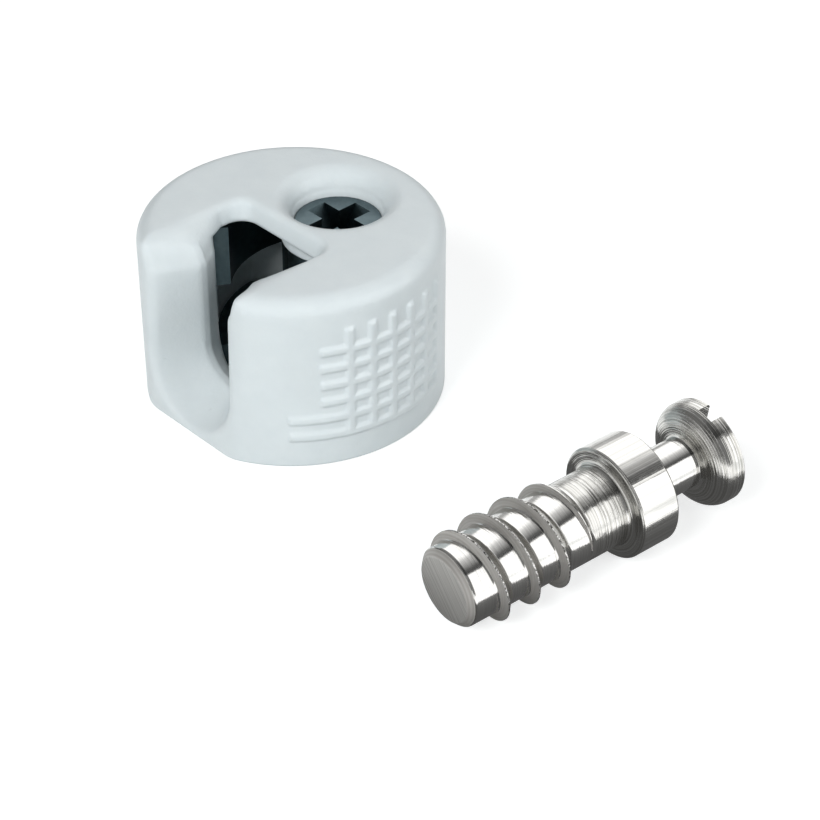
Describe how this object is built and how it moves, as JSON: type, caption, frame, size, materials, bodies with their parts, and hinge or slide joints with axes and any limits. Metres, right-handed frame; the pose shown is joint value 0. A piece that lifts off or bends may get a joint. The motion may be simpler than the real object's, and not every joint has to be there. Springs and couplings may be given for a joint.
{
  "type": "cam lock connector",
  "caption": "Furniture cam connector: round moulded housing with an open bolt slot and a turning zinc cam, and its loose steel connecting bolt.",
  "frame": {"origin": "on the axis of the 20 mm drill hole, in the housing's bottom face", "axes": "+Z out of the housing's top face along the hole's axis, -Y out of the bolt slot towards the next board, +X towards the loose bolt"},
  "size_m": [0.0404, 0.0209, 0.0123],
  "materials": {
    "housing_plastic": "fine matt moulded plastic, cool white",
    "cast_zinc": "raw zinc die casting, dull grey",
    "plated_steel": "turned steel, bright plated, with turning marks"
  },
  "bodies": {
    "housing": {"housing": "housing_plastic", "bolt": "plated_steel"},
    "cam": {"cam": "cast_zinc"}
  },
  "joints": [
    {"name": "cam_turn", "type": "hinge", "parent": "housing", "child": "cam", "pos_m": [0, 0.00395, 0.01], "axis": [0, 0, 1], "range_deg": [0, 62]}
  ]
}
